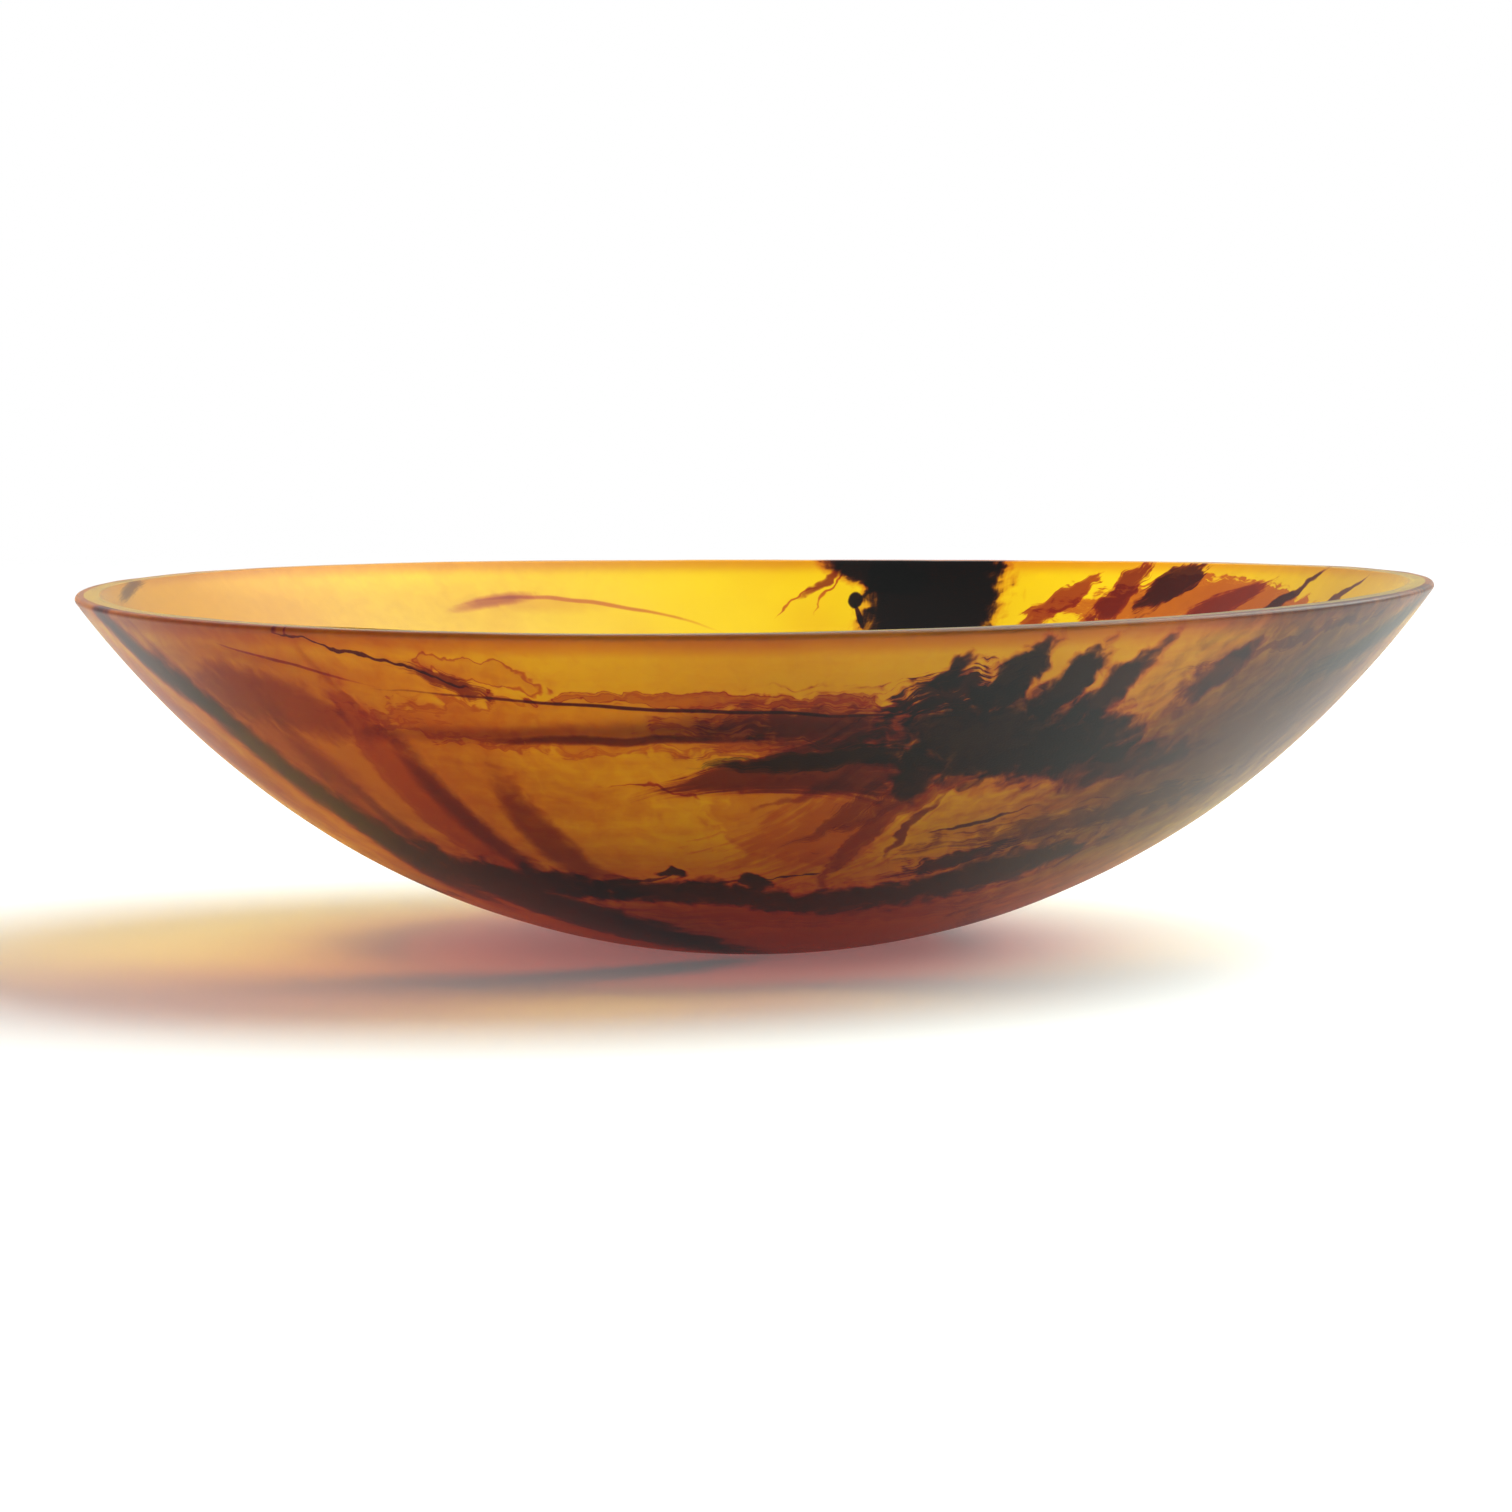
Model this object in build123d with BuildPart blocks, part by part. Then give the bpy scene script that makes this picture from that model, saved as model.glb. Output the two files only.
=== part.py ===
# An art glass bowl: one amber glass body with veils of dark glass fused flush into its wall.
# Origin: centre of the flat foot, on the surface that the bowl stands on.
# +Z is up and -Y is the front, the side with the large dark plume.
from build123d import *
import math
import os

# Driving dimensions, in millimetres and degrees.
rim_radius = 176.0  # to the sharp corner: easing it leaves a rim 350 mm across
bowl_height = 92.0
foot_radius = 30.0
belly_radius = 207.0  # lower curve of the outside, about a centre on the bowl's axis
inner_belly_radius = 205.3  # the same curve on the inside
shoulder_radius = 125.0  # where the lower curve runs into the straighter upper wall
floor_thickness = 9.0
lip_width = 7.4  # flat ground top of the wall
outer_lip_round = 1.0
inner_lip_round = 0.8
foot_round = 1.5
closed_gap = 0.01  # two ends of an outline nearer than this are one point
veil_reach = 200.0  # how far a veil's outline is carried before the wall layer trims it

outer_centre_height = math.sqrt(belly_radius**2 - foot_radius**2)
inner_centre_height = floor_thickness + inner_belly_radius
shoulder_angle = math.degrees(math.asin(shoulder_radius / belly_radius))

# Depths in the wall are shares of its thickness: 0 is the outside face and 1 the inside face.
# Both layers run past their face, so that a veil is cut off flush with it.
outside_layer = (-0.3, 0.3)  # veils that look sharp from outside
inside_layer = (0.7, 1.3)  # veils that the satin body blurs when they are seen from outside

# Each veil's outline is two edges, both from left to right as seen from the front, as (x, z).
# A ragged upper edge keeps its corners, and every other edge is a smooth curve.
front_veils = {
    "front_plume": {
        "layer": outside_layer,
        "ragged": True,
        "upper": [
            (33, 73), (39, 71), (45, 79), (50, 75), (58, 85), (62, 79), (67, 86),
            (73, 78), (80, 85), (87, 75), (96, 75), (104, 73), (116, 76),
        ],
        "lower": [(33, 73), (38, 62), (44, 53), (60, 50), (82, 57), (98, 65), (116, 76)],
    },
    "front_wing": {
        "layer": outside_layer,
        "ragged": False,
        "upper": [(-20, 53), (-8, 57), (5, 59), (18, 62), (32, 65)],
        "lower": [(-20, 53), (-8, 51), (6, 51), (21, 51), (34, 57)],
    },
    "front_band": {
        "layer": inside_layer,
        "ragged": False,
        "upper": [(-74, 70), (-56, 69), (-34, 67), (-12, 67), (10, 70)],
        "lower": [(-74, 67), (-56, 64), (-34, 62), (-12, 62), (10, 66)],
    },
    "left_ribbon": {
        "layer": inside_layer,
        "ragged": False,
        "upper": [(-148, 86), (-118, 66), (-96, 46), (-68, 17)],
        "lower": [(-151, 81), (-124, 59), (-103, 40), (-74, 13)],
    },
    "fan_stroke_upper": {
        "layer": outside_layer,
        "ragged": False,
        "upper": [(-100, 78), (-84, 68), (-61, 53), (-40, 36)],
        "lower": [(-101, 75), (-87, 64), (-69, 45), (-45, 32)],
    },
    "fan_stroke_lower": {
        "layer": inside_layer,
        "ragged": False,
        "upper": [(-98, 55), (-84, 42), (-67, 25)],
        "lower": [(-100, 51), (-87, 37), (-71, 22)],
    },
    "base_ribbon": {
        "layer": outside_layer,
        "ragged": False,
        "upper": [
            (-66, 30), (-34, 26), (-14, 25), (5, 27), (20, 22), (36, 20),
            (58, 26), (74, 38), (92, 43), (110, 48),
        ],
        "lower": [
            (-65, 27), (-34, 22), (-14, 20), (5, 22), (20, 18), (36, 16),
            (60, 21), (76, 34), (92, 40), (112, 45),
        ],
    },
    "right_streak": {
        "layer": outside_layer,
        "ragged": False,
        "upper": [(103, 60), (118, 70), (134, 77), (152, 82)],
        "lower": [(106, 56), (120, 65), (136, 72), (154, 79)],
    },
}
back_veils = {
    "back_mass": {
        "layer": inside_layer,
        "ragged": True,
        "upper": [(14, 87), (31, 85), (37, 88), (56, 86), (70, 88)],
        "lower": [(14, 87), (26, 80), (34, 70), (46, 55), (60, 62), (66, 74), (70, 88)],
    },
    "back_flames": {
        "layer": inside_layer,
        "ragged": True,
        "upper": [
            (83, 78), (84, 87), (90, 82), (97, 87), (104, 81), (113, 87), (120, 82), (131, 86),
        ],
        "lower": [(83, 78), (98, 70), (116, 73), (131, 86)],
    },
    "back_spike": {
        "layer": inside_layer,
        "ragged": False,
        "upper": [(139, 76), (143, 84), (151, 88)],
        "lower": [(139, 76), (147, 80), (151, 88)],
    },
    "back_comma": {
        "layer": inside_layer,
        "ragged": False,
        "upper": [(-80, 81), (-67, 83), (-54, 82), (-33, 77), (-14, 72)],
        "lower": [(-79, 77), (-67, 78), (-55, 78), (-34, 74), (-15, 70)],
    },
}
# Near the foot the wall is almost level, so this outline is drawn from above, as (x, y).
floor_veils = {
    "base_pool": {
        "layer": inside_layer,
        "ragged": False,
        "upper": [(-55, -48), (-44, -38), (-27, -36), (-11, -46), (-8, -58)],
        "lower": [(-55, -48), (-42, -60), (-24, -66), (-8, -58)],
    },
}


def draw_wall_curve(depth):
    # Adds the two tangent arcs of the wall at this depth, from the axis out to the lip.
    radius = belly_radius + depth * (inner_belly_radius - belly_radius)
    centre_height = outer_centre_height + depth * (inner_centre_height - outer_centre_height)
    lower_arc = CenterArc((0, centre_height), radius, -90, shoulder_angle)
    lip_point = (rim_radius - depth * lip_width, bowl_height)
    upper_arc = TangentArc(lower_arc @ 1, lip_point, tangent=lower_arc % 1)
    return lower_arc @ 0, upper_arc @ 1


def make_wall(near_depth, far_depth):
    # Revolves the half section of the wall between two depths.
    with BuildPart() as wall:
        with BuildSketch(Plane.XZ):
            with BuildLine():
                near_start, near_end = draw_wall_curve(near_depth)
                far_start, far_end = draw_wall_curve(far_depth)
                Line(near_start, far_start)
                Line(near_end, far_end)
            make_face()
        revolve(axis=Axis.Z)
    return wall.part


def make_veil_cutter(outline, plane, reach):
    # Cuts the outline out of its layer, so the veil follows the curve of the bowl.
    with BuildPart() as cutter:
        with BuildSketch(plane):
            with BuildLine():
                if outline["ragged"]:
                    upper_edge = Polyline(*outline["upper"])
                else:
                    upper_edge = Spline(*outline["upper"])
                lower_edge = Spline(*outline["lower"])
                for end in (0, 1):
                    if (upper_edge @ end - lower_edge @ end).length > closed_gap:
                        Line(upper_edge @ end, lower_edge @ end)
            make_face()
        extrude(amount=reach)
        add(layers[outline["layer"]], mode=Mode.INTERSECT)
    return cutter.part


def make_veil(name, cutter):
    with BuildPart() as veil:
        add(whole_wall)
        add(cutter, mode=Mode.INTERSECT)
    veil.part.label = name
    return veil.part


whole_wall = make_wall(0, 1)
layers = {layer: make_wall(*layer) for layer in (outside_layer, inside_layer)}

cutters = {}
for name, outline in front_veils.items():
    cutters[name] = make_veil_cutter(outline, Plane.XZ, veil_reach)
for name, outline in back_veils.items():
    cutters[name] = make_veil_cutter(outline, Plane.XZ, -veil_reach)
for name, outline in floor_veils.items():
    cutters[name] = make_veil_cutter(outline, Plane.XY, veil_reach)
veils = [make_veil(name, cutter) for name, cutter in cutters.items()]

# The body: a revolved wall, its foot ground flat, its lip ground level with the edges eased,
# and a pocket in its face for each veil.
with BuildPart() as amber_bowl:
    add(whole_wall)
    split(bisect_by=Plane.XY, keep=Keep.TOP)
    lip_edges = amber_bowl.edges().filter_by(GeomType.CIRCLE).group_by(Axis.Z)[-1]
    fillet(lip_edges.sort_by(SortBy.RADIUS)[-1], outer_lip_round)
    lip_edges = amber_bowl.edges().filter_by(GeomType.CIRCLE).group_by(Axis.Z)[-1]
    fillet(lip_edges.sort_by(SortBy.RADIUS)[0], inner_lip_round)
    foot_edge = amber_bowl.edges().filter_by(GeomType.CIRCLE).group_by(Axis.Z)[0]
    fillet(foot_edge, foot_round)
    for cutter in cutters.values():
        add(cutter, mode=Mode.SUBTRACT)
amber_bowl.part.label = "amber_bowl"

os.makedirs("parts", exist_ok=True)
for piece in [amber_bowl.part, *veils]:
    export_step(piece, f"parts/{piece.label}.step")
    print(piece.label, round(piece.volume), "mm3", len(piece.solids()), "solid")
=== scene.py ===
import math

import bpy
from mathutils import Matrix, Vector


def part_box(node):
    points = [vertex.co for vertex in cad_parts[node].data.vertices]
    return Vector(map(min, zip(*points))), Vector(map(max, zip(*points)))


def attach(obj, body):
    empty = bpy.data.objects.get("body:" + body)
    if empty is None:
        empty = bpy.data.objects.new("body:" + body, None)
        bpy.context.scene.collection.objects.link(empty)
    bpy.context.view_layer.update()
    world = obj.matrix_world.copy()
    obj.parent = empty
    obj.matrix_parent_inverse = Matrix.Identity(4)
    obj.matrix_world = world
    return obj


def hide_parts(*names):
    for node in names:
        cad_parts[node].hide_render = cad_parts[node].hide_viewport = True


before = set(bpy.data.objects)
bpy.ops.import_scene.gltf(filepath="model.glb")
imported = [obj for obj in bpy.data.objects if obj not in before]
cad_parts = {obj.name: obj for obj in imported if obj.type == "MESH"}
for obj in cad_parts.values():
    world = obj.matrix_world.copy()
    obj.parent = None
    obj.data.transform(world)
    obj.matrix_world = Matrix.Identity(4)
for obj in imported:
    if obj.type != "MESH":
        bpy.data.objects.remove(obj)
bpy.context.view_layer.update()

scene = bpy.context.scene
scene.view_settings.view_transform = "Standard"
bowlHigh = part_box("amber_bowl")[1]
mm = 0.001
blankReach = 205.5    # radius of the flat round that the bowl was slumped from, in millimetres
lipDepth = 0.75       # depth into the wall where the lip lies: 0 is the outside, 1 the inside
deepScale = 40.0      # how far apart the patterns of the two faces lie, in millimetres
sectors = 6           # finishes round each face, so that each draws few veils


class Wire:
    # a socket that takes part in sums, in shader and geometry trees alike
    def __init__(self, graph, node, socket):
        self.graph = graph
        self.node = node
        self.socket = socket

    def other(self, name):
        return Wire(self.graph, self.node, self.node.outputs[name])

    def __add__(self, value):
        return self.graph.math("ADD", self, value)

    __radd__ = __add__

    def __sub__(self, value):
        return self.graph.math("SUBTRACT", self, value)

    def __rsub__(self, value):
        return self.graph.math("SUBTRACT", value, self)

    def __mul__(self, value):
        return self.graph.math("MULTIPLY", self, value)

    __rmul__ = __mul__

    def __truediv__(self, value):
        return self.graph.math("DIVIDE", self, value)

    def __rtruediv__(self, value):
        return self.graph.math("DIVIDE", value, self)

    def __pow__(self, value):
        return self.graph.math("POWER", self, value)

    def __gt__(self, value):
        return self.graph.math("GREATER_THAN", self, value)

    def __lt__(self, value):
        return self.graph.math("LESS_THAN", self, value)


class Graph:
    def __init__(self, tree):
        self.tree = tree

    def plug(self, socket, value):
        if isinstance(value, Wire):
            self.tree.links.new(value.socket, socket)
        else:
            socket.default_value = value

    # any node: its type, its settings, then what goes into its sockets
    def node(self, kind, settings=None, sockets=None, out=0):
        made = self.tree.nodes.new(kind)
        for name, value in (settings or {}).items():
            setattr(made, name, value)
        for name, value in (sockets or {}).items():
            self.plug(made.inputs[name], value)
        return Wire(self, made, made.outputs[out] if len(made.outputs) else None)

    def math(self, operation, *values):
        return self.node("ShaderNodeMath", {"operation": operation}, dict(enumerate(values)))

    def vector(self, operation, *values):
        return self.node("ShaderNodeVectorMath", {"operation": operation}, dict(enumerate(values)))

    def clamped(self, value, low=0.0, high=1.0):
        return self.math("MAXIMUM", self.math("MINIMUM", value, high), low)

    def smooth(self, value, low, high, start=0.0, end=1.0):
        sockets = {"Value": value, "From Min": low, "From Max": high,
                   "To Min": start, "To Max": end}
        return self.node("ShaderNodeMapRange", {"interpolation_type": "SMOOTHSTEP"}, sockets)

    def combine(self, x, y, z):
        return self.node("ShaderNodeCombineXYZ", None, {"X": x, "Y": y, "Z": z})

    def separate(self, vector):
        split = self.node("ShaderNodeSeparateXYZ", None, {"Vector": vector})
        return split, split.other("Y"), split.other("Z")

    def noise(self, vector, scale, detail=3.0, roughness=0.5, distortion=0.0):
        sockets = {"Vector": vector, "Scale": scale, "Detail": detail, "Roughness": roughness,
                   "Distortion": distortion}
        return self.node("ShaderNodeTexNoise", None, sockets)


# The bowl's section, in metres. Height and rim come from the CAD body.
bowlShape = {
    "Height": bowlHigh.z,
    "Rim Radius": bowlHigh.x + 1.0 * mm,
    "Foot Radius": 30 * mm,
    "Belly Radius": 207 * mm,
    "Inner Belly Radius": 205.3 * mm,
    "Shoulder Radius": 125 * mm,
    "Floor Thickness": 9 * mm,
    "Lip Width": 7.4 * mm,
    "Outer Lip Round": 1.0 * mm,
    "Inner Lip Round": 0.8 * mm,
    "Foot Round": 1.5 * mm,
    "Rim Sway": 1.3 * mm,        # how far the handmade rim rises and falls, twice round
    "Rim Sway Turn": 2.68,       # radians round from the front
    "Rim Ripple": 0.2 * mm,      # the same, three times round
    "Rim Ripple Turn": -0.72,
    "Face Wander": 0.25 * mm,    # slow unevenness of the satin faces
}
wander = {
    "perMetre": 22.0,
    "detail": 1.5,
    "none": 1 * mm,      # height up to which the ground foot stays level
    "full": 12 * mm,     # height from which the faces wander fully
}
bowlFineness = {"around": 440, "foot": 8, "footRound": 4, "belly": 46, "upper": 42,
                "outerLip": 8, "lipFlat": 4, "innerLip": 6}


def buildBowlTree(finishes):
    tree = bpy.data.node_groups.new("lathed bowl", "GeometryNodeTree")
    for name in bowlShape:
        tree.interface.new_socket(name=name, in_out="INPUT", socket_type="NodeSocketFloat")
    tree.interface.new_socket(name="Geometry", in_out="OUTPUT", socket_type="NodeSocketGeometry")
    g = Graph(tree)
    given = g.node("NodeGroupInput")
    size = {name: given.other(name) for name in bowlShape}
    fine = bowlFineness
    rows = fine["foot"] + fine["footRound"] + 2 * fine["belly"] + 2 * fine["upper"]
    rows += fine["outerLip"] + fine["lipFlat"] + fine["innerLip"]
    grid = g.node("GeometryNodeMeshGrid", None, {
        "Size X": 1.0, "Size Y": 1.0, "Vertices X": fine["around"] + 1, "Vertices Y": rows + 1})
    start = g.node("GeometryNodeInputPosition")
    across, along, _ = g.separate(start)
    turn = (across + 0.5) * math.tau
    row = (along + 0.5) * rows

    def sine(value):
        return g.math("SINE", value)

    def cosine(value):
        return g.math("COSINE", value)

    def root(value):
        return g.math("SQRT", value)

    height = size["Height"]
    belly = size["Belly Radius"]
    innerBelly = size["Inner Belly Radius"]
    bellyCentre = root(belly * belly - size["Foot Radius"] * size["Foot Radius"])
    innerCentre = size["Floor Thickness"] + innerBelly
    shoulder = g.math("ARCSINE", size["Shoulder Radius"] / belly)

    # the straighter upper arc: leaves the belly arc along its tangent and ends at the lip
    def upperArc(centre, radius, lipRadius):
        joinR = radius * sine(shoulder)
        joinZ = centre - radius * cosine(shoulder)
        dr = lipRadius - joinR
        dz = height - joinZ
        reach = (dr * dr + dz * dz) / ((dz * cosine(shoulder) - dr * sine(shoulder)) * 2)
        return joinR - sine(shoulder) * reach, joinZ + cosine(shoulder) * reach, reach

    upperR, upperZ, upperReach = upperArc(bellyCentre, belly, size["Rim Radius"])
    innerR, innerZ, innerReach = upperArc(
        innerCentre, innerBelly, size["Rim Radius"] - size["Lip Width"])

    # the round of a lip edge or of the foot edge, touching an arc of the wall
    def easedEdge(arcR, arcZ, reach, edgeZ):
        drop = arcZ - edgeZ
        centreR = arcR + root(reach * reach - drop * drop)
        return centreR, g.math("ARCCOSINE", drop / reach)

    outerRound = size["Outer Lip Round"]
    innerRound = size["Inner Lip Round"]
    footRound = size["Foot Round"]
    outerLipZ = height - outerRound
    innerLipZ = height - innerRound
    outerLipR, outerLipAngle = easedEdge(upperR, upperZ, upperReach - outerRound, outerLipZ)
    innerLipR, innerLipAngle = easedEdge(innerR, innerZ, innerReach + innerRound, innerLipZ)
    footR, footAngle = easedEdge(0.0, bellyCentre, belly - footRound, footRound)

    level = math.pi    # the angle at which an edge's round meets the flat lip
    outerLength = belly * shoulder + upperReach * (outerLipAngle - shoulder)
    # rows, centre, radius, first and last angle, length along the blank at both ends, depth
    stretches = [
        (fine["foot"], (0.0, 0.0), None, 0.0, footR, 0.0, footR, 0.0),
        (fine["footRound"], (footR, footRound), footRound, 0.0, footAngle,
         footR, belly * footAngle, 0),
        (fine["belly"], (0.0, bellyCentre), belly, footAngle, shoulder,
         belly * footAngle, belly * shoulder, 0),
        (fine["upper"], (upperR, upperZ), upperReach, shoulder, outerLipAngle,
         belly * shoulder, outerLength, 0),
        (fine["outerLip"], (outerLipR, outerLipZ), outerRound, outerLipAngle, level,
         outerLength, outerLength, 0),
        (fine["lipFlat"], (0.0, height), None, outerLipR, innerLipR,
         outerLength, outerLength, lipDepth),
        (fine["innerLip"], (innerLipR, innerLipZ), innerRound, level, innerLipAngle + level,
         outerLength, outerLength, 1),
        (fine["upper"], (innerR, innerZ), innerReach, innerLipAngle, shoulder,
         outerLength, belly * shoulder, 1),
        (fine["belly"], (0.0, innerCentre), innerBelly, shoulder, 0.0, belly * shoulder, 0.0, 1),
    ]
    hair = 0.001    # of a row
    radial, rises, spread, depth = 0.0, 0.0, 0.0, 0.0
    first = 0
    for count, centre, radius, begin, end, nearBlank, farBlank, deep in stretches:
        share = g.clamped((row - first) / count)
        here = row > (first + hair if first else -0.5)
        here = here * (row < first + count + hair)
        angle = begin + (end - begin) * share
        if radius is None:
            pointR, pointZ = angle, centre[1] + share * 0.0
        else:
            pointR = centre[0] + radius * sine(angle)
            pointZ = centre[1] - radius * cosine(angle)
        radial = radial + pointR * here
        rises = rises + pointZ * here
        spread = spread + (nearBlank + (farBlank - nearBlank) * share) * here
        depth = depth + here * deep
        first += count

    swayShare = g.clamped(spread / outerLength) ** 3    # all at the rim, next to none below
    sway = size["Rim Sway"] * cosine(turn * 2 - size["Rim Sway Turn"])
    ripple = size["Rim Ripple"] * cosine(turn * 3 - size["Rim Ripple Turn"])
    rises = rises + (sway + ripple) * swayShare
    place = g.combine(radial * sine(turn), radial * cosine(turn) * -1, rises)
    blank = g.combine(spread * sine(turn), spread * cosine(turn) * -1, depth)
    named = g.node("GeometryNodeStoreNamedAttribute",
                   {"data_type": "FLOAT_VECTOR", "domain": "POINT"},
                   {"Geometry": grid, "Name": "blank", "Value": blank})
    shaped = g.node("GeometryNodeSetPosition", None, {"Geometry": named, "Position": place})
    closed = g.node("GeometryNodeMergeByDistance", None, {"Geometry": shaped, "Distance": 1e-6})
    # the satin faces wander a little, but the ground foot stays level
    kept = g.node("GeometryNodeInputNamedAttribute", {"data_type": "FLOAT_VECTOR"},
                  {"Name": "blank"})
    strays = g.noise(kept, wander["perMetre"], wander["detail"]) - 0.5
    here = g.node("GeometryNodeInputPosition")
    clear = g.smooth(g.separate(here)[2], wander["none"], wander["full"])
    push = g.vector("SCALE", g.node("GeometryNodeInputNormal"))
    g.plug(push.node.inputs["Scale"], strays * clear * size["Face Wander"] * 2)
    eased = g.node("GeometryNodeSetPosition", None, {"Geometry": closed, "Offset": push})
    smoothed = g.node("GeometryNodeSetShadeSmooth", None, {"Geometry": eased})
    real = g.node("GeometryNodeRealizeInstances", None, {"Geometry": smoothed})
    # each face of the wall has its own finishes, one for each sector; the lip goes with the inside
    acrossBlank, alongBlank, depthHere = g.separate(kept)
    isInside = depthHere > lipDepth - 0.2
    turnHere = g.math("ARCTAN2", acrossBlank, alongBlank * -1) / math.tau
    sectorHere = g.math("FLOOR", (turnHere - g.math("FLOOR", turnHere)) * sectors)
    finishHere = sectorHere + isInside * sectors
    painted = real
    for number, finish in enumerate(finishes):
        isHere = g.math("COMPARE", finishHere, float(number), 0.5)
        painted = g.node("GeometryNodeSetMaterial", None, {
            "Geometry": painted, "Selection": isHere, "Material": finish})
    g.node("NodeGroupOutput", None, {"Geometry": painted})
    return tree


def growMesh(name, tree, values):
    seed = bpy.data.meshes.new(name + " seed")
    grower = bpy.data.objects.new(name, seed)
    scene.collection.objects.link(grower)
    modifier = grower.modifiers.new("shape", "NODES")
    modifier.node_group = tree
    for item in tree.interface.items_tree:
        if item.in_out == "INPUT" and item.name in values:
            modifier[item.identifier] = values[item.name]
    bpy.context.view_layer.update()
    grown = bpy.data.meshes.new_from_object(
        grower.evaluated_get(bpy.context.evaluated_depsgraph_get()), preserve_all_data_layers=True,
        depsgraph=bpy.context.evaluated_depsgraph_get())
    grower.modifiers.clear()
    for slot in reversed(range(len(grown.materials))):
        if grown.materials[slot] is None:    # the bare grid brings an empty one
            grown.materials.pop(index=slot)
    grower.data = grown
    grown.name = name
    bpy.data.meshes.remove(seed)
    return grower


# The amber glass itself and its satin skin
amberGlass = {
    "passes": (0.93, 0.59, 0.0008),    # of red, green and blue, through one wall
    "roughness": 0.42,
    "ior": 1.5,
    "outsideShine": (0.5, 0.5, 0.5, 1.0),   # the etched faces reflect less than polished glass
    "insideShine": (0.2, 0.2, 0.2, 1.0),
    "skinGrain": 1.6,                  # per millimetre
    "skinRelief": 0.3 * mm,
    "skinStrength": 0.15,
    "footBrown": 1.25,                 # added by the thicker glass round the foot
    "lipPaintedShade": 0.4,                   # painted shade: a brown band under the rim, for the darker look seen through the edge of the lip
    "footReach": (30.0, 135.0),        # where it is full, and where it ends
    "haze": 0.1,                       # slow brown clouds in the outside
    "lipPaintedSheen": 0.7,                    # painted sheen: share of the colour taken off the ground lip, so that it looks pale where it catches light
}
# How the veils flow: per millimetre, detail, and how far they move or tear
swirls = {"slow": (0.02, 2.0, 9.0), "quick": (0.1, 2.5, 9.0), "tears": (0.18, 2.5, 2.4),
          "clouds": (0.016, 3.0)}
# What the two dark glasses swallow of red, green and blue, for a veil of density 1
brownVeil = (0.62, 1.9, 2.4)
smokeVeil = (1.8, 1.6, 1.8)


# A veil is laid on the flat round blank, before it was slumped. It runs from start to end,
# each a turn in degrees to the right of the front and a distance out from the middle in
# millimetres; wide is half its width and bend bows it inwards. dark is its density, smoke
# the share of that which is smoke glass, comb its strands, fringe and rim its brown edges.
def veil(start, end, wide, bend=0.0, taper=0.0, soft=0.5, fray=0.4, dark=1.5, smoke=0.5, comb=0.0,
         fringe=0.0, rim=0.0):
    return {"start": start, "end": end, "wide": wide, "bend": bend, "taper": taper, "soft": soft,
            "fray": fray, "dark": dark, "smoke": smoke, "comb": comb, "fringe": fringe, "rim": rim}


def blankPoint(turn, out):
    angle = math.radians(turn)
    return Vector((out * math.sin(angle), -out * math.cos(angle)))


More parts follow.
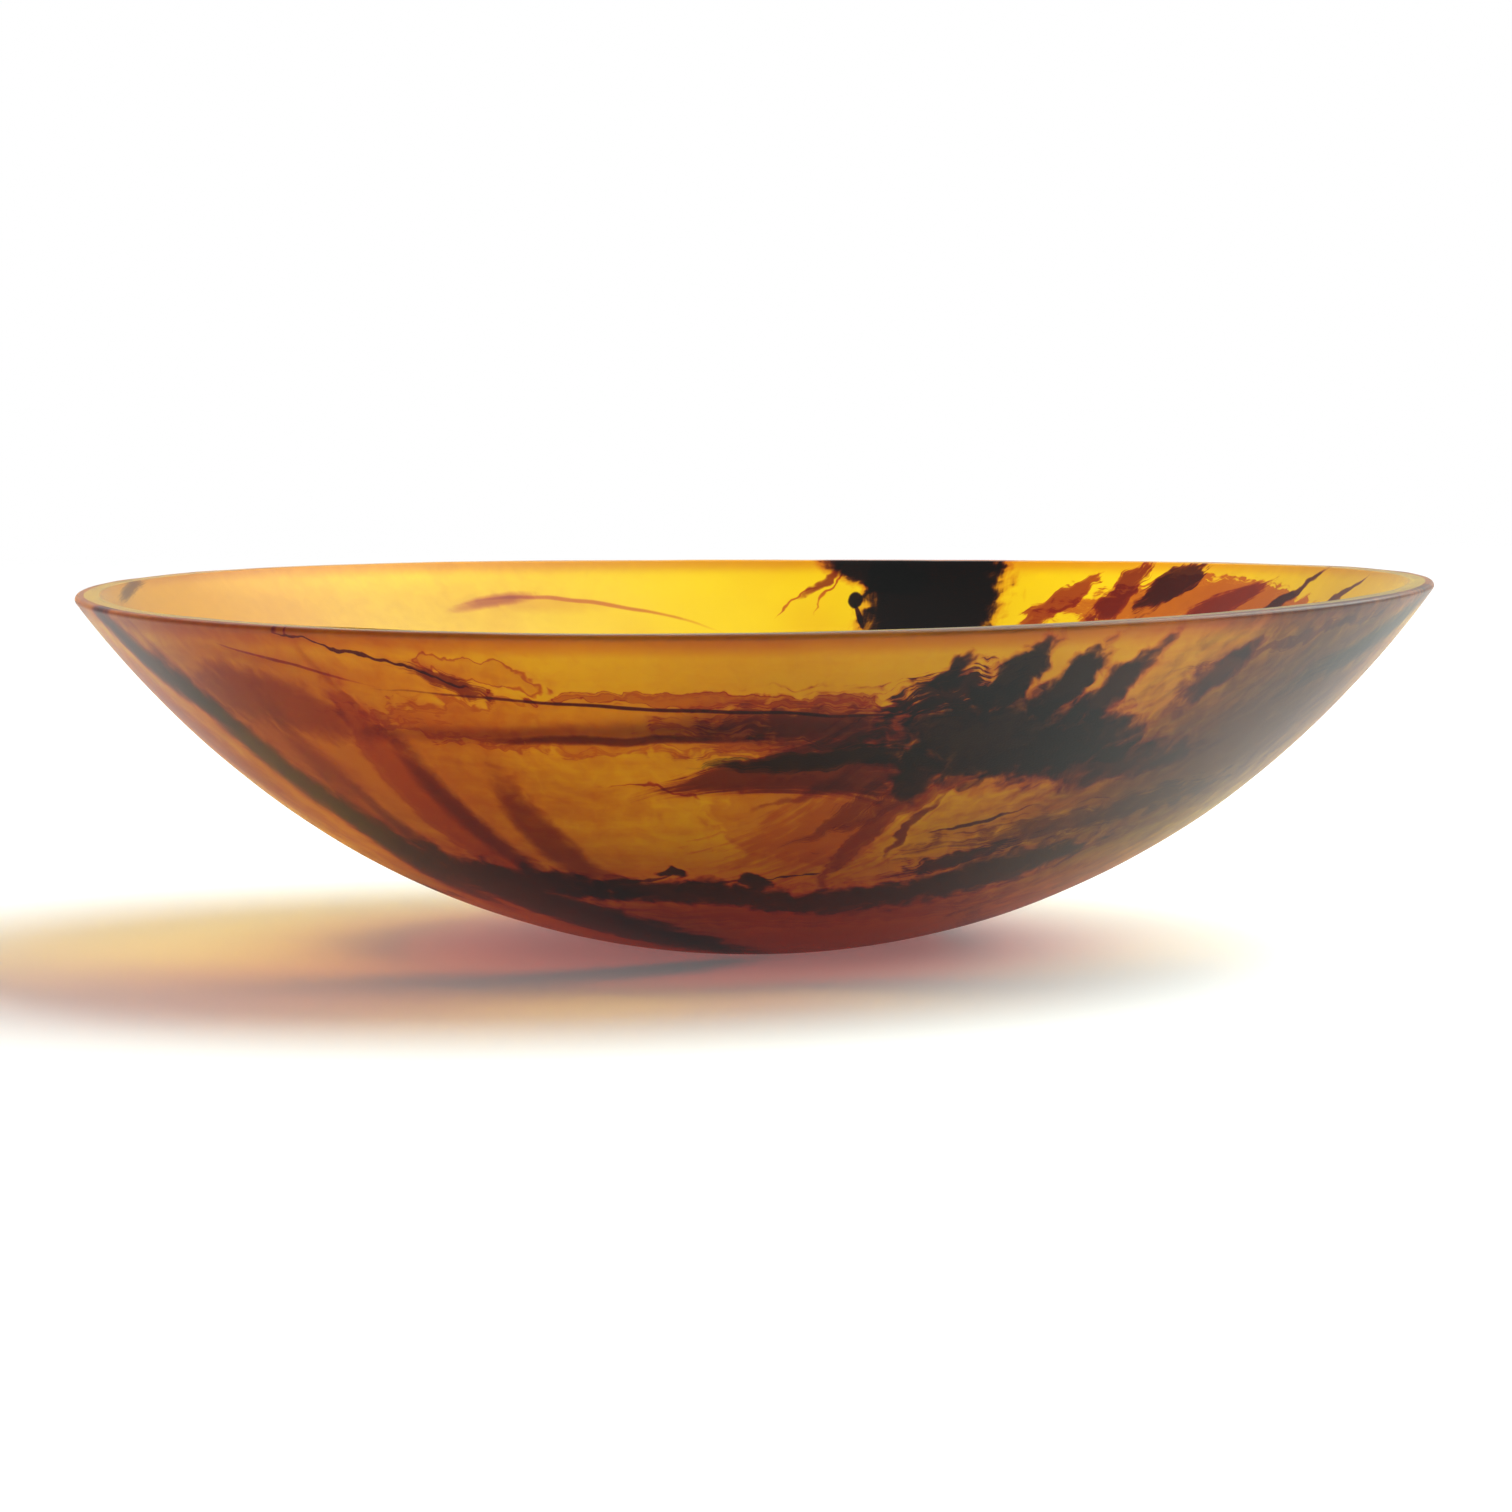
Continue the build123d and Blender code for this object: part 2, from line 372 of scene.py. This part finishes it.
outsideVeils = {
    # the grey plume on the right of the front, with its peaks
    "plume body": veil((13, 173), (31, 168), 13, soft=0.8, fray=0.6, dark=1.9, smoke=1, fringe=0.6),
    "plume foot": veil((14, 166), (15, 149), 5, taper=0.4, soft=0.9, fray=0.5, dark=1.6, smoke=1,
            fringe=0.6),
    "plume right": veil((26, 172), (37, 167), 8, soft=1.0, fray=0.7, dark=1.5, smoke=1, fringe=0.6),
    "plume tail": veil((24, 162), (44, 160), 6, bend=2, soft=1.1, fray=0.6, dark=1.0, smoke=0.9,
            fringe=0.6),
    "lace 1": veil((12, 183), (20, 190), 5, soft=0.6, fray=1.2, dark=1.9, smoke=0.7, comb=1.6,
            fringe=0.5),
    "lace 2": veil((15, 186), (16.8, 198), 2.8, soft=0.6, fray=1.0, dark=1.9, smoke=0.8,
            fringe=0.4),
    "peak 1": veil((19, 180), (23, 201), 6.0, taper=0.2, soft=0.6, fray=0.7, dark=2.0, smoke=1,
            fringe=0.4),
    "peak 2": veil((24.5, 180), (28.5, 200), 5.2, taper=0.25, soft=0.6, fray=0.7, dark=1.9,
            smoke=1, fringe=0.4),
    "peak 3": veil((29, 178), (33.5, 198), 4.6, taper=0.3, soft=0.7, fray=0.7, dark=1.6,
            smoke=0.95, fringe=0.5),
    "peak 4": veil((40, 182), (45, 196), 4.2, taper=0.3, soft=1.0, fray=0.6, dark=0.9, smoke=0.9,
            fringe=0.5),
    # the pointed wing to the left of the plume, and the feathers under it
    "wing": veil((-8, 154), (13, 163), 7.5, bend=-2, taper=-0.75, soft=0.5, fray=0.15, dark=1.0,
            smoke=0.4, comb=0.6, fringe=0.3, rim=0.35),
    "wing back": veil((-2, 163), (15, 167), 3.4, bend=-1, soft=0.9, fray=0.4, dark=1.5, smoke=0.9,
            comb=0.8),
    "wing haze": veil((-6, 176), (15, 176), 10, soft=0.9, fray=0.5, dark=0.6, smoke=0.1, comb=1.0,
            rim=0.25),
    "wing knot": veil((-2, 178), (12, 176), 5, soft=1.0, fray=1.0, dark=1.0, smoke=0.3, comb=1.4),
    "feathers": veil((13, 156), (-1, 118), 15, bend=-5, soft=1.0, fray=0.3, dark=0.36, smoke=0,
            comb=1.6),
    "feather 1": veil((12, 156), (4, 130), 2.4, bend=-3, taper=0.6, soft=1.0, fray=0.5, dark=0.7,
            smoke=0.3, comb=1.0),
    "feather 2": veil((14, 154), (8, 136), 2.2, bend=-3, taper=0.6, soft=1.0, fray=0.5, dark=0.7,
            smoke=0.3, comb=1.0),
    "feather 3": veil((9, 160), (0, 146), 2.0, bend=-2, taper=0.6, soft=1.0, fray=0.5, dark=0.6,
            smoke=0.2),
    "crescent": veil((22, 160), (9, 108), 3.2, bend=8, taper=0.3, soft=0.9, fray=0.4, dark=0.8,
            smoke=0.2, rim=0.3),
    "crescent 2": veil((19, 150), (16, 124), 1.2, bend=2, soft=0.8, fray=0.5, dark=1.2, smoke=0.3),
    # the crack on the left, the long line that runs from it, and the shaded band round it
    "crack": veil((-38.5, 204), (-24, 189), 0.62, bend=-1, soft=0.6, fray=0.35, dark=2.3,
            smoke=0.25),
    "crack lens": veil((-29.5, 195), (-22.5, 187), 2.6, soft=0.9, fray=0.5, dark=1.3, smoke=0.2,
            comb=0.9),
    "crack twin": veil((-47, 199), (-35, 191), 0.5, soft=1.0, fray=0.3, dark=1.0, smoke=0),
    "crack halo": veil((-28, 198), (-17, 190), 3.6, bend=-1, soft=0.3, fray=0.5, dark=0.12,
            smoke=0, rim=0.6),
    "long line": veil((-25, 187), (14, 180), 0.55, soft=1.0, fray=0.2, dark=2.4, smoke=0.3),
    "band": veil((-34, 179), (17, 178), 9.5, soft=0.35, fray=0.35, dark=0.2, smoke=0, comb=0.4,
            rim=0.35),
    "band top": veil((-18, 188), (13, 184), 2.4, soft=0.4, fray=0.9, dark=0.3, smoke=0, rim=0.6),
    "band sag": veil((-22, 172), (0, 174), 1.4, soft=1.0, fray=0.3, dark=1.3, smoke=0.3),
    "thin wave": veil((-14, 156), (-6, 150), 0.5, bend=-1, soft=1.0, fray=0.5, dark=1.0, smoke=0),
    # the green-brown ribbon low on the front, with its knots
    "ribbon 1": veil((-42, 112), (-20, 105), 6.8, soft=0.9, fray=0.7, dark=1.8, smoke=0.8,
            fringe=0.6),
    "ribbon 2": veil((-24, 106), (-2, 101), 5.8, soft=0.9, fray=0.7, dark=1.7, smoke=0.8,
            fringe=0.6),
    "ribbon 3": veil((-9, 107), (6, 96), 6.2, soft=0.8, fray=0.7, dark=1.9, smoke=0.85, fringe=0.6),
    "ribbon 4": veil((3, 96), (26, 104), 6.0, bend=2, soft=0.9, fray=0.7, dark=1.7, smoke=0.85,
            fringe=0.6),
    "ribbon 5": veil((19, 100), (44, 120), 8.5, bend=1, taper=0.2, soft=0.9, fray=0.7, dark=1.8,
            smoke=1, fringe=0.6),
    "ribbon 6": veil((20, 116), (32, 125), 3.2, soft=0.8, fray=1.0, dark=1.4, smoke=0.7, comb=1.2,
            fringe=0.4),
    "ribbon haze": veil((-20, 90), (40, 92), 12, soft=1.2, fray=0.5, dark=0.5, smoke=0.1, comb=0.8),
    "knot 1": veil((-13, 118), (-10, 114), 2.2, bend=-1, soft=0.5, fray=0.8, dark=2.2, smoke=0.8,
            fringe=0.3),
    "knot 1 stem": veil((-20, 108), (-12, 116), 0.8, bend=1, soft=0.9, fray=0.5, dark=1.4,
            smoke=0.4),
    "knot 2": veil((-1, 114), (1.5, 106), 2.4, soft=0.5, fray=0.8, dark=2.2, smoke=0.9, fringe=0.3),
    "tick 1": veil((-1, 112), (8, 113), 0.5, soft=0.8, fray=1.4, dark=1.8, smoke=0.6),
    "tick 2": veil((-8, 109), (-1, 113), 0.5, soft=0.9, fray=0.6, dark=1.2, smoke=0.3),
    # long drifts that climb the right end, and the grey edge of the right tip
    "right drifts": veil((26, 132), (66, 182), 28, bend=3, soft=1.5, fray=0.5, dark=0.5, smoke=0.2,
            comb=1.0),
    "right sweep": veil((24, 128), (58, 146), 6, bend=2, soft=1.0, fray=0.9, dark=0.8, smoke=0.5,
            comb=1.2),
    "right sliver": veil((21, 134), (30, 142), 0.8, soft=0.8, fray=0.6, dark=1.8, smoke=0.5),
    "right sliver 2": veil((40, 192), (62, 203), 1.6, soft=0.9, fray=0.5, dark=0.7, smoke=0.3,
            comb=1.0),
    "right smoke": veil((42, 120), (68, 200), 42, soft=1.5, fray=0.3, dark=0.75, smoke=1, comb=0.6),
    "right haze": veil((34, 176), (80, 176), 40, soft=1.4, fray=0.3, dark=0.4, smoke=0, comb=0.8),
    "right tip": veil((58, 184), (76, 204), 5, soft=1.2, fray=0.3, dark=1.0, smoke=1, comb=0.6),
    # the left: a green-brown ribbon near the edge, a red patch and fanned strokes down to the pool
    "left ribbon 1": veil((-69, 206), (-58, 176), 5.6, bend=2, soft=1.3, fray=0.3, dark=1.3,
            smoke=0.85, fringe=0.8),
    "left ribbon 2": veil((-60, 184), (-51, 130), 6.4, bend=1, soft=1.3, fray=0.3, dark=1.35,
            smoke=0.85, fringe=0.8),
    "left ribbon 3": veil((-51, 142), (-50, 96), 7, soft=1.2, fray=0.3, dark=1.5, smoke=0.85,
            fringe=0.8),
    "left edge": veil((-76, 196), (-64, 130), 11, soft=1.4, fray=0.3, dark=0.8, smoke=0.1),
    "left patch": veil((-57, 183), (-37, 177), 9.5, bend=-2, soft=0.8, fray=0.3, dark=0.85,
            smoke=0.1),
    "left patch foot": veil((-53, 172), (-44, 150), 9, soft=1.3, fray=0.3, dark=0.45, smoke=0),
    "fan 1": veil((-37, 186), (-30, 104), 9, bend=5, soft=0.6, fray=0.25, dark=0.6, smoke=0,
            rim=0.15),
    "fan 1 core": veil((-34, 168), (-28, 112), 4.2, bend=4, soft=1.3, fray=0.3, dark=0.9,
            smoke=0.4),
    "fan 2": veil((-47, 178), (-42, 96), 7, bend=5, soft=0.9, fray=0.3, dark=0.55, smoke=0.1),
    "fan 2 core": veil((-45, 146), (-40, 100), 3.2, bend=2, soft=1.3, fray=0.3, dark=0.8,
            smoke=0.4),
    "fan 3": veil((-25, 156), (-21, 106), 5.4, bend=2, soft=0.9, fray=0.25, dark=0.9, smoke=0.3),
    "pool": veil((-47, 124), (-11, 46), 11, bend=4, soft=0.9, fray=0.4, dark=2.8, smoke=0.7,
            fringe=0.6),
    # painted shade: a broad brown veil over the whole left of the outside, darkening the side away
    # from the light
    "left painted shade": veil((-72, 168), (-20, 160), 50, soft=1.4, fray=0.3, dark=0.6, smoke=0, comb=0.5),
    "red haze": veil((-3, 150), (13, 128), 17, soft=0.5, fray=0.3, dark=0.26, smoke=0, rim=0.1),
    "middle haze": veil((-20, 172), (20, 172), 26, soft=1.4, fray=0.5, dark=0.1, smoke=0, comb=0.8),
    # the back and the bottom carry calmer drifts of the same two glasses
    "back cloud": veil((146, 124), (200, 112), 13, soft=1.3, fray=0.5, dark=1.3, smoke=0.7,
            comb=1.6, fringe=0.5),
    "back wisp": veil((196, 150), (240, 124), 4, soft=1.2, fray=0.5, dark=1.1, smoke=0.4, comb=1.8),
    "back ribbon": veil((232, 96), (290, 92), 5, soft=0.8, fray=0.6, dark=1.8, smoke=0.8,
            fringe=0.5),
    "side drift": veil((88, 138), (138, 108), 7, soft=1.3, fray=0.5, dark=1.2, smoke=0.5, comb=1.8),
    "foot swirl": veil((70, 62), (214, 52), 9, soft=1.5, fray=0.5, dark=0.9, smoke=0.4, comb=0.8),
}
insideVeils = {
    "soft band": veil((-36, 168), (2, 170), 3.4, soft=1.2, fray=0.2, dark=1.2, smoke=0.2),
    "soft band end": veil((-12, 172), (12, 172), 5, soft=1.2, fray=0.3, dark=0.9, smoke=0.3),
    "fan streak": veil((-40, 202), (-38, 178), 1.8, soft=1.2, fray=0.2, dark=0.6, smoke=0),
    "left streak": veil((-54, 200), (-42, 194), 1.8, soft=1.2, fray=0.2, dark=0.6, smoke=0),
    "peach haze": veil((218, 190), (288, 190), 26, soft=1.6, fray=0.2, dark=0.3, smoke=0.25),
    "far haze": veil((232, 186), (126, 186), 40, soft=1.1, fray=0.1, dark=0.13, smoke=1),
    # the far side of the hollow
    "comma head": veil((211.5, 187), (204, 191), 2.2, soft=1.3, fray=0.2, dark=0.75, smoke=0.1),
    "comma tail": veil((208, 190), (187.5, 178.5), 0.9, bend=4.5, soft=1.0, fray=0.15, dark=0.6,
            smoke=0),
    "comma haze": veil((209, 188), (197, 187), 3.2, soft=1.5, fray=0.2, dark=0.14, smoke=0),
    "bolt 1": veil((177.5, 180), (174, 193), 0.5, bend=1, soft=0.8, fray=0.4, dark=0.8, smoke=0),
    "bolt 2": veil((175, 189), (171.5, 206), 1.4, bend=-1, soft=0.8, fray=0.5, dark=1.3, smoke=0.2),
    "bolt 3": veil((173.5, 184), (171, 202), 0.6, bend=1, soft=0.9, fray=0.4, dark=0.9, smoke=0),
    "black mass": veil((160.2, 150), (162, 228), 22, taper=-0.12, soft=0.3, fray=0.3, dark=3.5,
            smoke=0.75, comb=0.3, fringe=0.2),
    "mass corner": veil((173, 208), (163, 195), 8, soft=0.4, fray=0.3, dark=3.2, smoke=0.7,
            fringe=0.3),
    "ball": veil((169.8, 190), (169.3, 183), 2.4, soft=0.4, fray=0.15, dark=3.0, smoke=0.7),
    "ball stem": veil((169.4, 184), (168, 174), 0.8, soft=0.6, fray=0.2, dark=2.4, smoke=0.5),
    "flame bed": veil((145, 186), (112, 189), 10, bend=2, soft=0.5, fray=0.4, dark=0.8, smoke=0,
            comb=0.6, rim=0.4),
    "flame 1": veil((150, 177), (143.5, 200), 5.0, taper=0.3, soft=0.5, fray=0.4, dark=1.3,
            smoke=0.08, comb=0.5, rim=0.4),
    "flame 2": veil((141, 180), (139, 205), 5.0, taper=0.2, soft=0.6, fray=0.5, dark=1.6,
            smoke=0.15, comb=0.5, rim=0.4),
    "flame 3": veil((137, 188), (132, 204), 6.0, taper=0.1, soft=0.5, fray=0.4, dark=2.2,
            smoke=0.4, comb=0.6, rim=0.4),
    "flame 4": veil((130, 178), (121, 199), 5.4, taper=0.4, soft=0.5, fray=0.3, dark=1.2,
            smoke=0.12, comb=0.5, rim=0.4),
    "spike 1": veil((119, 184), (113.5, 205), 2.4, taper=0.5, soft=0.6, fray=0.4, dark=2.2,
            smoke=0.4, rim=0.3),
    "spike 2": veil((108, 188), (103.5, 204), 1.8, taper=0.5, soft=0.6, fray=0.4, dark=1.8,
            smoke=0.4),
    "left tip streaks": veil((266, 200), (256, 205), 1.6, soft=1.2, fray=0.3, dark=0.7, smoke=0.8,
            comb=1.0),
    "gold haze": veil((128, 190), (92, 190), 24, soft=1.6, fray=0.2, dark=0.2, smoke=0.5),
    "floor swirl": veil((128, 72), (236, 70), 9, bend=-6, soft=1.5, fray=0.5, dark=0.8, smoke=0.4,
            comb=0.8),
}


# Says where a veil lies on the blank: its middle, the way it runs, half its length and its bow
def veilLine(one):
    start, end = blankPoint(*one["start"]), blankPoint(*one["end"])
    span = end - start
    middle = (start + end) / 2
    # a veil follows the turn of the bowl between its ends
    halfway = blankPoint(*((a + b) / 2 for a, b in zip(one["start"], one["end"])))
    square = Vector((-span.y, span.x)).normalized()
    return middle, span.normalized(), span.length / 2, (halfway - middle).dot(square) + one["bend"]


# Says whether a veil can reach into a sector of its face
def touches(one, sector):
    middle, along, half, bow = veilLine(one)
    edge = 1.0 + max(one["soft"] / 2, 0.2 + one["fringe"] * 0.7)
    edge += one["fray"] * 0.6 + one["comb"] * 0.5
    strayed = 9.0    # millimetres that the swirls may move an edge
    for turn in range(sector * 360 // sectors, (sector + 1) * 360 // sectors + 1, 4):
        for out in range(0, 208, 6):
            away = blankPoint(turn, out) - middle
            x = away.dot(along)
            y = away.y * along.x - away.x * along.y + ((x / half) ** 2 - 1) * bow
            x = max(abs(x) - strayed, 0.0) / half
            y = max(abs(y) - strayed, 0.0) / one["wide"] * (1 - abs(one["taper"]))
            if x * x + y * y < edge * edge:
                return True
    return False


# Adds up the veils of one finish as two densities, of brown and of smoke glass
def sumVeils(g, calm, torn, ragged, veils):
    brown, smoke = 0.0, 0.0
    for one in veils:
        middle, alongVeil, half, bow = veilLine(one)
        # x runs from -1 to 1 along the veil and y from -1 to 1 across it
        local = g.node("ShaderNodeMapping", {"vector_type": "TEXTURE"}, {
            "Vector": torn if one["fray"] > 0.3 else calm,
            "Location": (middle.x, middle.y, 0.0),
            "Rotation": (0.0, 0.0, math.atan2(alongVeil.y, alongVeil.x)),
            "Scale": (half, one["wide"], 1000.0),
        })
        x, y, _ = g.separate(local)
        y = g.math("MULTIPLY_ADD", x * x - 1, bow / one["wide"], y)
        if one["taper"]:
            y = y * g.math("MAXIMUM", g.math("MULTIPLY_ADD", x, one["taper"], 1.0), 0.45)
        local = g.combine(x, y, 0.0)
        reach = g.vector("LENGTH", local).other("Value")
        reach = g.math("MULTIPLY_ADD", ragged, one["fray"], reach)
        if one["comb"]:
            strands = g.noise(g.vector("MULTIPLY", local, (1.3, 5.0, 1.0)), 1.0, 3.0, 0.6)
            reach = g.math("MULTIPLY_ADD", strands - 0.5, one["comb"] * 2, reach)
        mask = g.smooth(reach, 1 - one["soft"] / 2, 1 + one["soft"] / 2, 1.0, 0.0)
        if one["smoke"] > 0:
            smoke = g.math("MULTIPLY_ADD", mask, one["dark"] * one["smoke"], smoke)
        if one["smoke"] < 1:
            brown = g.math("MULTIPLY_ADD", mask, one["dark"] * (1 - one["smoke"]), brown)
        if one["fringe"]:
            brown = brown + g.smooth(reach, 0.8, 1.2 + one["fringe"], 0.8, 0.0)
        if one["rim"]:
            brown = brown + g.smooth(g.math("ABSOLUTE", reach - 1.0), 0.0, 0.13, one["rim"], 0.0)
    return brown, smoke


def makeSatinGlass(name, veils, isInside):
    material = bpy.data.materials.new(name)
    material.use_nodes = True
    material.node_tree.nodes.clear()
    g = Graph(material.node_tree)

    def shifted(base, scale, detail, distance):
        swirl = g.noise(base, scale, detail, 0.55).other("Color")
        away = g.vector("SUBTRACT", swirl, (0.5, 0.5, 0.5))
        return g.vector("ADD", base, g.vector("MULTIPLY", away, (distance, distance, 0.0)))

    blank = g.node("ShaderNodeAttribute", {"attribute_name": "blank"}, None, "Vector")
    flat = g.vector("MULTIPLY", blank, (1 / mm, 1 / mm, deepScale))
    calm = shifted(flat, *swirls["slow"])
    torn = shifted(calm, *swirls["quick"])
    perMillimetre, detail, tear = swirls["tears"]
    ragged = (g.noise(torn, perMillimetre, detail, 0.5) - 0.5) * tear
    brown, smoke = sumVeils(g, calm, torn, ragged, veils)
    across, along, deep = g.separate(flat)
    out = g.math("SQRT", across * across + along * along)
    brown = brown + g.smooth(out, *amberGlass["footReach"], amberGlass["footBrown"], 0.0)
    if not isInside:
        # painted shade: a brown band just under the rim, all round the outside, standing in for the
        # darker look through the edge of the lip
        brown = brown + g.smooth(out, blankReach - 6, blankReach - 0.5, 0.0, amberGlass["lipPaintedShade"])
        clouds = g.noise(calm, *swirls["clouds"], 0.6)
        brown = brown + g.smooth(clouds, 0.42, 0.7, 0.0, amberGlass["haze"])
    # painted sheen: the flat lip loses most of its amber, standing in for the light grey it shows
    # where it reflects light
    pale = 1.0
    if isInside:
        lip = g.smooth(g.math("ABSOLUTE", deep - lipDepth * deepScale), 2.0, 8.0, 1.0, 0.0)
        pale = 1 - lip * amberGlass["lipPaintedSheen"]
    channels = []
    for passes, brownTakes, smokeTakes in zip(amberGlass["passes"], brownVeil, smokeVeil):
        dark = brown * (brownTakes * -2) + smoke * (smokeTakes * -2) + math.log(passes)
        channels.append(g.math("EXPONENT", dark * pale))
    colour = g.node("ShaderNodeCombineColor", None, dict(enumerate(channels)))
    skin = g.noise(flat, amberGlass["skinGrain"], 3.0, 0.6)
    bump = g.node("ShaderNodeBump", None, {
        "Strength": amberGlass["skinStrength"], "Distance": amberGlass["skinRelief"],
        "Height": skin})
    glass = g.node("ShaderNodeBsdfPrincipled", None, {
        "Base Color": colour, "Roughness": amberGlass["roughness"], "IOR": amberGlass["ior"],
        "Specular Tint": amberGlass["insideShine" if isInside else "outsideShine"],
        "Transmission Weight": 1.0, "Normal": bump})
    g.node("ShaderNodeOutputMaterial", None, {"Surface": glass})
    return material


def makeBowl():
    finishes = []
    for face, veils in (("outside", outsideVeils), ("inside", insideVeils)):
        for sector in range(sectors):
            drawn = [one for one in veils.values() if touches(one, sector)]
            print(face, "sector", sector, "draws", len(drawn), "veils")
            name = f"satin amber {face} {sector + 1}"
            finishes.append(makeSatinGlass(name, drawn, face == "inside"))
    bowl = growMesh("amber_bowl_glass", buildBowlTree(finishes), bowlShape)
    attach(bowl, "root")
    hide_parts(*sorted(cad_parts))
    print("bowl:", len(bowl.data.polygons), "faces,", len(bowl.data.materials), "finishes")


makeBowl()

# The stage: pale floor that fades into the world and glows with painted light, weaker round the
# bowl as painted shade; soft light
studio = {
    "floorRadius": 3.0,
    "footGap": 0.3 * mm,    # keeps the floor from coinciding with the foot
    "floorFades": (0.9, 2.2),    # where the floor begins and ends to fade into the world
    # painted light on the floor: it glows nearGlow within glowStarts[0] of the middle, rising to
    # floorGlow beyond glowStarts[1], so the weaker glow round the bowl is painted shade
    "glowStarts": (0.2, 0.5),
    "nearGlow": 0.1,
    "daylight": 1.0,
    "ceiling": 0.55,
    "frontLight": 0.35,
    "leftLight": 0.35,
    "floorGlow": 0.25,
    "cameraDistance": 1.5,
    "cameraAboveRim": 82.2 * mm,
    "aimBelowRim": 43.7 * mm,
    "lens": 137.9,
    "roll": 0.0093,
    "softboxPlace": (1.3, 0.5, 1.5),
    "softboxAim": (0.25, 0.1, 0.0),
    "softboxSize": (2.2, 2.2),
    "softboxPower": 88,
    "softboxColour": (0.92, 1.0, 0.94),
}


def makeFloor():
    material = bpy.data.materials.new("pale floor")
    material.use_nodes = True
    material.node_tree.nodes.clear()
    g = Graph(material.node_tree)
    place = g.node("ShaderNodeTexCoord", None, None, "Object")
    away = g.vector("LENGTH", place).other("Value")
    faded = g.smooth(away, *studio["floorFades"])
    paper = g.node("ShaderNodeBsdfDiffuse", None, {"Color": (0.85, 0.85, 0.85, 1)})
    # painted light: the floor glows like a lamp, less near the bowl, which paints shade round it
    strength = g.smooth(away, *studio["glowStarts"], studio["nearGlow"], studio["floorGlow"])
    glow = g.node("ShaderNodeEmission", None, {"Color": (1, 1, 1, 1), "Strength": strength})
    paper = g.node("ShaderNodeAddShader", None, {0: paper, 1: glow})
    gone = g.node("ShaderNodeBsdfTransparent")
    mixed = g.node("ShaderNodeMixShader", None, {0: faded, 1: paper, 2: gone})
    g.node("ShaderNodeOutputMaterial", None, {"Surface": mixed})
    mesh = bpy.data.meshes.new("pale floor")
    count = 96
    ring = [(studio["floorRadius"] * math.cos(i * math.tau / count),
             studio["floorRadius"] * math.sin(i * math.tau / count), 0.0) for i in range(count)]
    mesh.from_pydata(ring, [], [tuple(range(count))])
    mesh.materials.append(material)
    floor = bpy.data.objects.new("pale_floor", mesh)
    floor.location.z = -studio["footGap"]
    scene.collection.objects.link(floor)


def makeWorld():
    world = bpy.data.worlds.new("soft studio")
    scene.world = world
    world.use_nodes = True
    world.node_tree.nodes.clear()
    g = Graph(world.node_tree)
    way = g.node("ShaderNodeTexCoord", None, None, "Generated")
    right, back, up = g.separate(way)
    dim = g.smooth(back, -0.7, 0.1, studio["frontLight"], 1.0)
    dim = dim * g.smooth(right, -0.9, -0.3, studio["leftLight"], 1.0)
    ceiling = g.smooth(up, 0.35, 0.85, 1.0, studio["ceiling"])
    light = g.node("ShaderNodeBackground", None, {
        "Color": (1.0, 1.0, 1.0, 1), "Strength": dim * ceiling * studio["daylight"]})
    g.node("ShaderNodeOutputWorld", None, {"Surface": light})


def areaLight(name, place, aim, size, power, colour):
    data = bpy.data.lights.new(name, "AREA")
    data.shape = "RECTANGLE"
    data.size, data.size_y = size
    data.energy = power
    data.color = colour
    lamp = bpy.data.objects.new(name, data)
    scene.collection.objects.link(lamp)
    lamp.location = place
    lamp.rotation_euler = (Vector(aim) - Vector(place)).to_track_quat("-Z", "Y").to_euler()
    lamp.visible_camera = False


def makeCamera():
    data = bpy.data.cameras.new("camera")
    data.lens = studio["lens"]
    data.sensor_width = 36
    data.clip_end = 50
    camera = bpy.data.objects.new("camera", data)
    scene.collection.objects.link(camera)
    place = Vector((0, -studio["cameraDistance"], bowlHigh.z + studio["cameraAboveRim"]))
    aim = Vector((0, 0, bowlHigh.z - studio["aimBelowRim"]))
    turn = (aim - place).to_track_quat("-Z", "Y").to_matrix().to_4x4()
    roll = Matrix.Rotation(-studio["roll"], 4, "Z")
    camera.matrix_world = Matrix.Translation(place) @ turn @ roll
    scene.camera = camera


makeFloor()
makeWorld()
areaLight("right softbox", studio["softboxPlace"], studio["softboxAim"], studio["softboxSize"],
          studio["softboxPower"], studio["softboxColour"])
makeCamera()
print("stage, light and camera placed")
